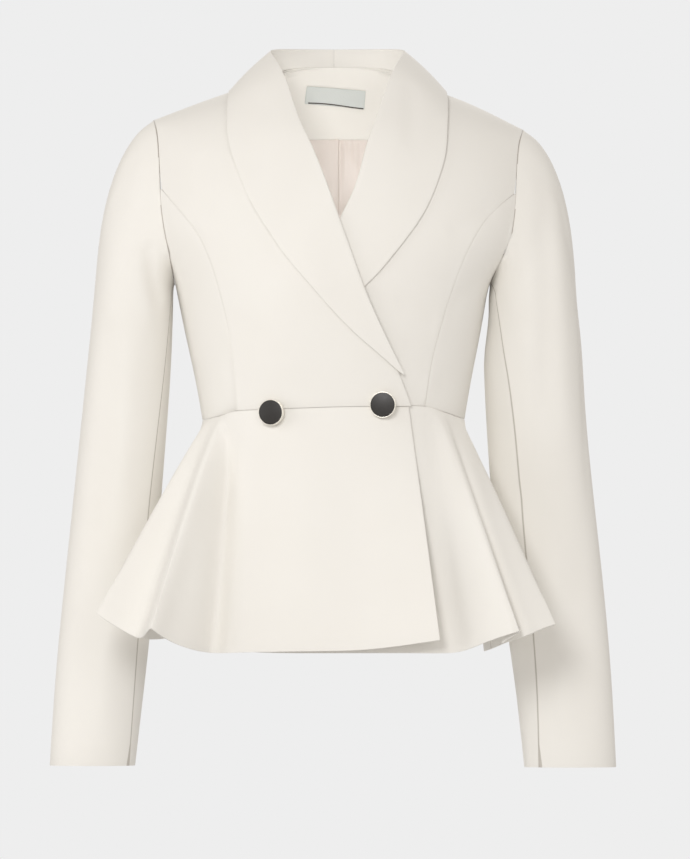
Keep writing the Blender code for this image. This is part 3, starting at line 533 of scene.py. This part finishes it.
def arm_middles(side):
    """Height, then x and y of the middle, of the sleeve on one side."""
    places = np.array([v.co for node in (f"sleeve_upper_{side}", f"sleeve_under_{side}")
                       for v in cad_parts[node].data.vertices])
    heights = np.linspace(places[:, 2].min(), places[:, 2].max(), ARM_ROWS)
    rows = []
    for z in heights:
        near = places[np.abs(places[:, 2] - z) < ARM_BAND]
        rows.append((z, (near[:, 0].min() + near[:, 0].max()) / 2, near[:, 1].mean()))
    return np.array(rows)


middles = {side: arm_middles(side) for side in ("right", "left")}


def ways_out(node, places):
    """Unit vectors that point out of the sleeve or of the body."""
    if node.startswith("sleeve"):
        rows = middles[node.rsplit("_", 1)[1]]
        out = places.copy()
        out[:, 0] -= np.interp(places[:, 2], rows[:, 0], rows[:, 1])
        out[:, 1] -= np.interp(places[:, 2], rows[:, 0], rows[:, 2])
    else:
        out = places / np.array([BODY_ROUND[0] ** 2, BODY_ROUND[1] ** 2, 1.0])
    out[:, 2] = 0
    return out / np.maximum(np.linalg.norm(out, axis=1, keepdims=True), 1e-6)


def fold_heights(node, places):
    """How far the folds lift the cloth at each place."""
    lift = np.zeros(len(places))
    for only, spots, width, heights in curves:
        if only and node not in only:
            continue
        low, high = spots.min(0) - FOLD_REACH * width, spots.max(0) + FOLD_REACH * width
        near = np.nonzero(np.all((places > low) & (places < high), axis=1))[0]
        if len(near) == 0:
            continue
        gaps = np.linalg.norm(places[near][:, None, :] - spots[None, :, :], axis=2)
        closest = gaps.argmin(axis=1)
        least = gaps[np.arange(len(near)), closest]
        lift[near] += heights[closest] * np.exp(-(least / width) ** 2)
    return lift


# The hem's rise: x and y of its middle, its reach, its height, then the z where it starts and
# how much lower it is full
RISE_AT, RISE_REACH, RISE = (-0.152, 0.02), 0.055, 19 * MM
RISE_START, RISE_LONG = -0.40, 0.14


def hem_rise(places):
    """The hem hikes up where the flare turns in at the wearer's right side."""
    near = np.exp(-np.sum(((places[:, :2] - RISE_AT) / RISE_REACH) ** 2, axis=1))
    down = np.clip((RISE_START - places[:, 2]) / RISE_LONG, 0, 1)
    return RISE * near * down ** 2


# piece, x where the move starts and is full, z where it is full and where it ends, all in
# metres, then how far the front edge is moved there
EDGE_MOVES = [("peplum_front_right", 0.03, 0.07, -0.34, -0.53, -3.4 * MM),
              ("front_right", 0.045, 0.07, -0.305, -0.27, 1.5 * MM)]


def edge_move(node, places):
    """Draws the front edge in or out, so that it runs on in one line through the waist."""
    move = np.zeros(len(places))
    for name, start, full, z_full, z_end, most in EDGE_MOVES:
        if node == name:
            near = ease((places[:, 0] - start) / (full - start))
            along = np.clip((places[:, 2] - z_end) / (z_full - z_end), 0, 1)
            move += most * near * along
    return move


# z where the sleeve starts to hang in, is fully in, starts to come out again and is out
HANG_TOP, HANG_FULL, HANG_LOW, HANG_END = -0.212, -0.268, -0.40, -0.60
HANG = 5.4 * MM


def sleeve_hang(node, places, out):
    """Draws the inner side of the wearer's left sleeve toward the body, below the underarm."""
    if node not in ("sleeve_upper_left", "sleeve_under_left"):
        return 0.0
    z = places[:, 2]
    along = ease((HANG_TOP - z) / (HANG_TOP - HANG_FULL))
    along *= 1 - ease((HANG_LOW - z) / (HANG_LOW - HANG_END))
    return -HANG * along * np.clip(-out[:, 0], 0, 1) ** 2


for node, piece in shells.items():
    if node in ("neck_label", "neck_facing", "back_lining"):
        continue
    places = points_of(piece)
    out = ways_out(node, places)
    places += out * fold_heights(node, places)[:, None]
    places[:, 0] += edge_move(node, places) + sleeve_hang(node, places, out)
    if node.startswith("peplum"):
        places[:, 2] += hem_rise(places)
    put_points(piece, places)
print("folded shells")

# %% [markdown]
# ## Inside the neck
# The facing runs up in front of the collar's stand, and its top edge is drawn in to it. The
# lining hangs from the facing with one pleat down the back: its left side folds over the
# right one in a sharp step, and the gathered side puckers at the seam. The label is set on
# the facing by hand, so it sits a little higher and more askew than a machine would put it.

# %% Facing, lining and label
STAND_FOOT = (3.0, 53.0, 21.3, 2.6)     # middle, half width, height there, fall to the sides
FACING_REACH, FACING_BACK = 20.0, 1.3   # how much of it is drawn up, and how far back
TOP_STRIP = 4.0                         # width of the strips whose tops are found
PLEAT_X, PLEAT_SHARP = 4.4, 0.22        # across, and over how much of it the step falls
PLEAT_MIDDLE, PLEAT_WIDTH, PLEAT_BACK = 4.0, 5.0, 4.6  # where the pleat is pushed back, how far
PLEAT_OVER, OVER_REACH = 1.8, 16        # height of the side on top, and its reach
PLEAT_UNDER, UNDER_REACH = 0.9, 5       # depth of the side beneath, and its reach
PLEAT_LIFT, LIFT_REACH = 1.6, 12        # how far the pleat is drawn up at its seam, and its reach
LINING_FOOT, LINING_FADE = -250, 120    # height where the pleat is gone, and over which it grows
SEAM_HOLD = 1.5                         # how near to the seam the puckers are held flat
FOLD_START, FOLD_LONG = 0.1, 0.8        # part of half a wave that a fold's height follows
PUCKERS = [
    # across, half width, height, length down from the seam
    (-34, 3.0, 0.5, 16), (-21, 2.6, 0.4, 12), (-9, 2.2, 0.5, 14), (10.5, 2.0, 1.1, 20),
    (16.5, 1.9, 1.0, 15), (22.0, 1.8, 1.2, 22), (27.5, 1.9, 1.0, 16), (34.0, 2.2, 0.8, 18),
]
LINING_FOLDS = [
    # across and height at both ends, half width, height
    (8, -52, 24, -84, 6, 1.6), (14, -88, 3, -124, 5, -1.3), (-6, -60, -22, -100, 9, 1.0),
    (-26, -56, -14, -120, 8, -0.9),
]
LABEL_SHIFT, LABEL_TURN, LABEL_STRETCH = (-0.8, 3.3), math.radians(-2.0), (1.04, 0.9)


facing = points_of(shells["neck_facing"]) / MM
x, z = facing[:, 0], facing[:, 2]
columns = np.round((x - x.min()) / TOP_STRIP)
tops = {c: z[columns == c].max() for c in np.unique(columns)}
top = np.array([tops[c] for c in columns])
middle, half, high, fall = STAND_FOOT
aim = high - fall * ((x - middle) / half) ** 2
share = np.clip(1 - (top - z) / FACING_REACH, 0, 1) ** 2
facing[:, 2] += share * (aim - top)
facing[:, 1] += share * FACING_BACK
put_points(shells["neck_facing"], facing * MM)

lining = points_of(shells["back_lining"]) / MM
x, z = lining[:, 0], lining[:, 2]
seam = z.max()
fade = np.clip((z - LINING_FOOT) / LINING_FADE, 0, 1)
toward = -PLEAT_BACK * np.exp(-((x - PLEAT_MIDDLE) / PLEAT_WIDTH) ** 2) * fade
step = 1 / (1 + np.exp((x - PLEAT_X) / PLEAT_SHARP))
toward += fade * step * PLEAT_OVER * np.exp(-np.abs(PLEAT_X - x) / OVER_REACH)
toward -= fade * (1 - step) * PLEAT_UNDER * np.exp(-np.abs(x - PLEAT_X) / UNDER_REACH)
for at, width, height, length in PUCKERS:
    below = np.exp(-(seam - z) / length) * (1 - np.exp(-(seam - z) / SEAM_HOLD))
    toward += height * below * np.exp(-((x - at) / width) ** 2)
for x1, z1, x2, z2, width, height in LINING_FOLDS:
    way = np.array([x2 - x1, z2 - z1])
    along = np.clip(((x - x1) * way[0] + (z - z1) * way[1]) / way.dot(way), 0, 1)
    gap = np.hypot(x - x1 - along * way[0], z - z1 - along * way[1])
    wave = np.sin(np.pi * (FOLD_START + FOLD_LONG * along))
    toward += height * np.exp(-(gap / width) ** 2) * wave
lining[:, 1] -= toward
drawn = ((x - PLEAT_MIDDLE) / PLEAT_WIDTH) ** 2
lining[:, 2] += PLEAT_LIFT * np.exp(-drawn - (seam - z) / LIFT_REACH)
put_points(shells["back_lining"], lining * MM)

label = points_of(shells["neck_label"]) / MM
middle = label[:, [0, 2]].mean(0)
moved = (label[:, [0, 2]] - middle) * LABEL_STRETCH
c, s = math.cos(LABEL_TURN), math.sin(LABEL_TURN)
moved = moved @ np.array([[c, s], [-s, c]]) + middle + LABEL_SHIFT
facing_form = form_of(["neck_facing"])


def facing_depth(x, z):
    """How far back the facing lies at x, z, all in millimetres."""
    return facing_form.ray_cast(Vector((x * MM, -1, z * MM)), Vector((0, 1, 0)))[0].y / MM


for i, (x, z) in enumerate(moved):
    label[i, 1] += facing_depth(x, z) - facing_depth(label[i, 0], label[i, 2])
label[:, 0], label[:, 2] = moved[:, 0], moved[:, 1]
put_points(shells["neck_label"], label * MM)
print("inside of the neck shaped")

# %% Finishes and bodies
SLOTS = {"back_lining": ("lining", satin), "neck_label": ("label", tape)}
for node, piece in shells.items():
    slot, finish = SLOTS.get(node, ("shell_cloth", crepe))
    piece.data.materials.clear()
    piece.data.materials.append(finish)
    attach(piece, "root")
    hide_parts(node)
print("dressed pieces of cloth:", len(shells))

# %% [markdown]

# %% [markdown]
# ## Painted shadow under the label
# The label's lower edge casts a thin dark line of shade, which sags a little. It is painted as a
# thin dark flat bar that follows the label, built point by point because it bends in two ways.

# %% Painted shadow under the label
LABEL_SHADOW_FROM, LABEL_SHADOW_TO, LABEL_SHADOW_SAG = (-25.0, -13.4), (28.4, -18.2), 0.7
LABEL_SHADOW_HIGH, LABEL_SHADOW_DEEP, LABEL_SHADOW_STEPS = 1.1, 0.5, 24
LABEL_SHADOW_WAVES = 1.5                      # half waves of the sag along the strip
rings = []
for k in range(LABEL_SHADOW_STEPS + 1):
    share = k / LABEL_SHADOW_STEPS
    x = LABEL_SHADOW_FROM[0] + (LABEL_SHADOW_TO[0] - LABEL_SHADOW_FROM[0]) * share
    z = LABEL_SHADOW_FROM[1] + (LABEL_SHADOW_TO[1] - LABEL_SHADOW_FROM[1]) * share
    z += LABEL_SHADOW_SAG * math.sin(math.pi * share * LABEL_SHADOW_WAVES)
    spot = on_cloth("front", x * MM, z * MM)
    for up, out in ((-1, 0), (1, 0), (1, -1), (-1, -1)):
        rings.append(spot + Vector((0, out * LABEL_SHADOW_DEEP, up * LABEL_SHADOW_HIGH / 2)) * MM)
faces = [(4 * k + a, 4 * k + (a + 1) % 4, 4 * k + 4 + (a + 1) % 4, 4 * k + 4 + a)
         for k in range(LABEL_SHADOW_STEPS) for a in range(4)]
faces += [(3, 2, 1, 0), tuple(4 * LABEL_SHADOW_STEPS + a for a in range(4))]
# The strip is painted shadow, set along the label's lower edge.
mesh = bpy.data.meshes.new("label_shadow_strip")
mesh.from_pydata(rings, [], faces)
mesh.materials.append(painted_shadow)
shadow_bar = bpy.data.objects.new("label_shadow_strip", mesh)
bpy.context.scene.collection.objects.link(shadow_bar)
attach(shadow_bar, "root")
print("thread along the label:", len(faces), "faces")

# %% [markdown]
# ## Buttons
# Each button is a shallow cup of pale metal round a dark enamelled disc, on a short shank. A
# turned part like this starts as a cylinder on its edge. Its front face is inset to leave the
# rim, pushed in to make the cup, and a small bevel takes the sharpness off. The buttons stand
# a little askew on the cloth, so their metal shows as a bright crescent on one side.

# %% Buttons
# node end, across and height of the face's middle, turn about the upright axis in degrees
BUTTONS = [("wearers_right", -60.6, -311.6, -19), ("wearers_left", 46.4, -304.4, -7)]
CUP_RADIUS, CUP_DEEP, RIM, RECESS = 12.4 * MM, 4.0 * MM, 0.75 * MM, 0.8 * MM
CUP_BEHIND = 0.4 * MM        # how far the cup's rim lies behind the solid's face
DISC_LIFT, DISC_PLAY = 0.1 * MM, 0.05 * MM
SHANK_RADIUS, SHANK_LONG, SHANK_PLAY = 2.4 * MM, 2.6 * MM, 0.02 * MM
CUP_BEVEL, DISC_BEVEL, BEVEL_ANGLE = 0.22 * MM, 0.35 * MM, math.radians(50)
SMOOTH_ANGLE = math.radians(28)
AROUND, SIDE_CORNERS = 72, 8  # a face with more corners than the second is a disc's end


def disc_facing_front(name, radius, depth, front):
    """A cylinder on its edge, whose front face lies at y = front."""
    bpy.ops.object.select_all(action="DESELECT")
    bpy.ops.mesh.primitive_cylinder_add(vertices=AROUND, radius=radius, depth=depth,
                                        location=(0, front + depth / 2, 0),
                                        rotation=(math.pi / 2, 0, 0))
    disc = bpy.context.object
    disc.name = name
    bpy.ops.object.transform_apply(location=True, rotation=True, scale=False)
    return disc


def recess_front(disc, front, inset, deep):
    """Insets the front face of a disc and pushes it in."""
    bpy.ops.object.mode_set(mode="EDIT")
    bpy.ops.mesh.select_mode(type="FACE")
    bpy.ops.mesh.select_all(action="DESELECT")
    bpy.ops.object.mode_set(mode="OBJECT")
    for face in disc.data.polygons:
        face.select = abs(face.center.y - front) < 1e-6 and len(face.vertices) > SIDE_CORNERS
    bpy.ops.object.mode_set(mode="EDIT")
    bpy.ops.mesh.inset(thickness=inset)
    bpy.ops.mesh.extrude_region_move(TRANSFORM_OT_translate={"value": (0, deep, 0)})
    bpy.ops.object.mode_set(mode="OBJECT")


def set_in_place(piece, x, z, turn, depth):
    """Turns a piece that was made at the origin, and moves it, so the object stays there."""
    bpy.ops.object.select_all(action="DESELECT")
    piece.select_set(True)
    bpy.context.view_layer.objects.active = piece
    piece.rotation_euler.z = math.radians(turn)
    piece.location = (x * MM, depth, z * MM)
    bpy.ops.object.transform_apply(location=True, rotation=True, scale=True)


for side, x, z, turn in BUTTONS:
    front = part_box("button_face_" + side)[0].y
    cup = disc_facing_front("button_cup_" + side, CUP_RADIUS, CUP_DEEP, 0.0)
    recess_front(cup, 0.0, RIM, RECESS)
    add_modifier(cup, "BEVEL", width=CUP_BEVEL, segments=3, limit_method="ANGLE",
                 angle_limit=BEVEL_ANGLE)
    disc = disc_facing_front("button_disc_" + side, CUP_RADIUS - RIM - DISC_PLAY,
                             RECESS + DISC_LIFT - DISC_PLAY, -DISC_LIFT)
    add_modifier(disc, "BEVEL", width=DISC_BEVEL, segments=3, limit_method="ANGLE",
                 angle_limit=BEVEL_ANGLE)
    shank = disc_facing_front("button_shank_" + side, SHANK_RADIUS, SHANK_LONG,
                              CUP_DEEP + SHANK_PLAY)
    for piece, slot, finish in ((cup, "button_metal", plating), (disc, "button_face", enamel),
                                (shank, "button_metal", plating)):
        piece.data.materials.append(finish)
        set_in_place(piece, x, z, turn, front + CUP_BEHIND)
        bpy.ops.object.shade_smooth_by_angle(angle=SMOOTH_ANGLE)
        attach(piece, "root")
    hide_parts("button_shell_" + side)
    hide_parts("button_face_" + side)
print("buttons:", len(BUTTONS))

# %% [markdown]
# ## The studio
# A long lens far away keeps the jacket as flat and level as the picture shows it. The room is
# a soft white light from all round. The main lamp stands in front, a little above and to the
# left, to model the folds. Weaker ones fill in from the right, from both sides and from behind.

# %% Floor, lamps, camera and world
VIEW_HEIGHT = 0.8246
CAMERA_FAR = 16.0
AIM = Vector((0.0106, 0.0, -0.328))
SENSOR, CLIP_FAR = 36.0, 100
FLOOR_RADIUS, FLOOR_Z = 2.0, -1.0
# name, place and size in metres, power in watts
LAMPS = [
    ("key_softbox", (-0.9, -4.4, 1.1), 1.1, 69), ("fill_softbox", (1.4, -4.1, 0.6), 1.8, 16),
    ("left_softbox", (-3.8, -1.6, 0.4), 2.6, 36), ("right_softbox", (3.8, -1.2, 0.4), 2.6, 13),
    ("back_softbox", (0.5, 2.8, 1.4), 1.8, 42),
]
# the same for the neck's own lamp, and the point that it is aimed at
NECK_LAMP = ("neck_insert_light", (0.0, -0.07, -0.17), 0.06, 0.115, (0.0, 0.08, -0.04))
SEEN_WHITE, SEEN_STRENGTH = shade("#eeeeee"), 1.0      # what the camera sees behind the jacket
AMBIENT, AMBIENT_STRENGTH = shade("#f7f1ea"), 0.52     # what lights it from all round

bpy.ops.object.select_all(action="DESELECT")
bpy.ops.mesh.primitive_circle_add(vertices=96, radius=FLOOR_RADIUS, fill_type="NGON",
                                  location=(0, 0, FLOOR_Z))
floor = bpy.context.object
floor.name = "studio_floor"
floor_paint, _, _ = new_finish("matte_studio_floor", Base_Color=shade("#e6e6e6"), Roughness=0.9)
floor.data.materials.append(floor_paint)


def lamp(name, place, size, power, aim=AIM):
    """A square soft lamp aimed at the jacket, or at a given point."""
    made = bpy.data.lights.new(name, "AREA")
    made.size = size
    made.energy = power
    holder = bpy.data.objects.new(name, made)
    holder.location = place
    holder.rotation_euler = (Vector(aim) - Vector(place)).to_track_quat("-Z", "Y").to_euler()
    bpy.context.scene.collection.objects.link(holder)
    return holder


for row in LAMPS:
    lamp(*row)
# The inside of the neck is lit for itself, by a small lamp hidden behind the fronts.
lamp(*NECK_LAMP)

world = bpy.data.worlds.new("white_studio")
world.use_nodes = True
bpy.context.scene.world = world
sky = world.node_tree
seen = add_node(sky, "ShaderNodeBackground",
                {"Color": SEEN_WHITE, "Strength": SEEN_STRENGTH})
ambient = add_node(sky, "ShaderNodeBackground",
                   {"Color": AMBIENT, "Strength": AMBIENT_STRENGTH})
path = add_node(sky, "ShaderNodeLightPath")
either = add_node(sky, "ShaderNodeMixShader", {}, {0: path.outputs["Is Camera Ray"]})
sky.links.new(ambient.outputs[0], either.inputs[1])
sky.links.new(seen.outputs[0], either.inputs[2])
sky.links.new(either.outputs[0], sky.nodes["World Output"].inputs["Surface"])

lens = bpy.data.cameras.new("long_lens")
lens.sensor_width = SENSOR
lens.lens = SENSOR * CAMERA_FAR / VIEW_HEIGHT
lens.clip_end = CLIP_FAR
camera = bpy.data.objects.new("camera", lens)
camera.location = (AIM.x, -CAMERA_FAR, AIM.z)
camera.rotation_euler = (math.pi / 2, 0, 0)
bpy.context.scene.collection.objects.link(camera)
bpy.context.scene.camera = camera
bpy.context.scene.view_settings.view_transform = "Standard"
print("lamps:", len(LAMPS) + 1, "lens:", round(lens.lens), "mm")
